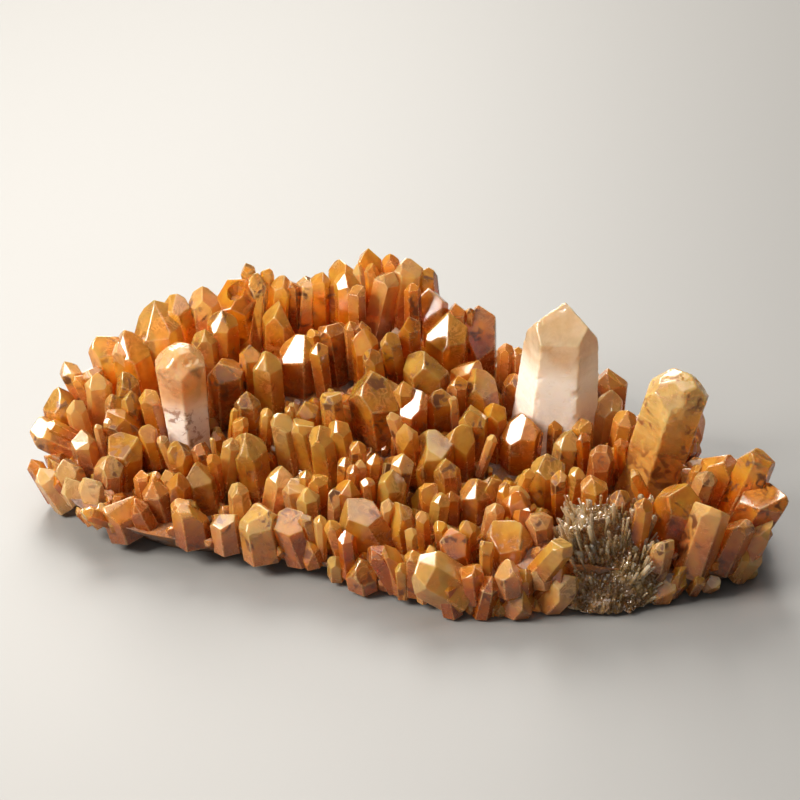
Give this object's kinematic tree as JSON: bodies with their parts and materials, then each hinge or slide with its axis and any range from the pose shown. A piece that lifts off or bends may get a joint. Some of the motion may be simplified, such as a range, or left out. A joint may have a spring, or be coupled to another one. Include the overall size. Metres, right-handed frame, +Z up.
{
  "type": "quartz on matrix",
  "caption": "Mineral specimen: a plate of rock carpeted with iron-stained quartz points that fan outwards, with taller milky and golden crystals and a bank of needle quartz.",
  "frame": {"origin": "middle of the bounding box on the flat underside", "axes": "+X along the longest side of the plate, +Y away from the pictured front, +Z up out of the plate"},
  "size_m": [0.15, 0.0938, 0.0442],
  "materials": {
    "matrix_rock": "rough, iron-stained",
    "stained_quartz": "glossy, cloudy, iron-stained",
    "milky_quartz": "glossy, milky",
    "golden_quartz": "glossy, translucent",
    "needle_quartz": "glossy, colourless to grey"
  },
  "bodies": {
    "root": {"matrix": "matrix_rock", "golden_right_crystal": "golden_quartz", "milky_centre_crystal": "milky_quartz", "milky_left_crystal": "milky_quartz", "upper_left_crystals_1": "stained_quartz", "upper_mid_left_crystals_1": "stained_quartz", "front_right_crystals_1": "stained_quartz", "upper_centre_crystals_1": "stained_quartz", "upper_centre_crystals_2": "stained_quartz", "middle_centre_crystals_1": "stained_quartz", "front_right_crystals_2": "stained_quartz", "middle_left_crystals_1": "stained_quartz", "middle_centre_crystals_2": "stained_quartz", "back_centre_crystals_1": "stained_quartz", "middle_mid_left_crystals_1": "stained_quartz", "middle_left_crystals_2": "stained_quartz", "front_centre_crystals_1": "stained_quartz", "upper_centre_crystals_3": "stained_quartz", "middle_centre_crystals_3": "stained_quartz", "front_centre_crystals_2": "stained_quartz", "back_mid_left_crystals_1": "stained_quartz", "middle_centre_crystals_4": "stained_quartz", "front_left_crystals_1": "stained_quartz", "middle_mid_left_crystals_2": "stained_quartz", "upper_mid_left_crystals_2": "stained_quartz", "front_mid_left_crystals_1": "stained_quartz", "front_mid_right_crystals_1": "stained_quartz", "middle_mid_left_crystals_3": "stained_quartz", "front_mid_left_crystals_2": "stained_quartz", "upper_left_crystals_2": "stained_quartz", "back_centre_crystals_2": "stained_quartz", "upper_mid_right_crystals_1": "stained_quartz", "front_mid_right_crystals_2": "stained_quartz", "upper_mid_right_crystals_2": "stained_quartz", "middle_left_crystals_3": "stained_quartz", "upper_centre_crystals_4": "stained_quartz", "front_centre_crystals_3": "stained_quartz", "middle_mid_left_crystals_4": "stained_quartz", "upper_mid_right_crystals_3": "stained_quartz", "front_mid_right_crystals_3": "stained_quartz", "upper_centre_crystals_5": "stained_quartz", "back_mid_left_crystals_2": "stained_quartz", "front_mid_right_crystals_4": "stained_quartz", "middle_mid_right_crystals_1": "stained_quartz", "middle_left_crystals_4": "stained_quartz", "back_centre_crystals_3": "stained_quartz", "upper_left_crystals_3": "stained_quartz", "middle_left_crystals_5": "stained_quartz", "back_centre_crystals_4": "stained_quartz", "middle_mid_right_crystals_2": "stained_quartz", "front_mid_right_crystals_5": "stained_quartz", "middle_centre_crystals_5": "stained_quartz", "upper_centre_crystals_6": "stained_quartz", "front_mid_left_crystals_3": "stained_quartz", "middle_left_crystals_6": "stained_quartz", "middle_mid_left_crystals_5": "stained_quartz", "middle_right_crystals_1": "stained_quartz", "front_mid_right_crystals_6": "stained_quartz", "needle_quartz": "needle_quartz"}
  },
  "joints": []
}
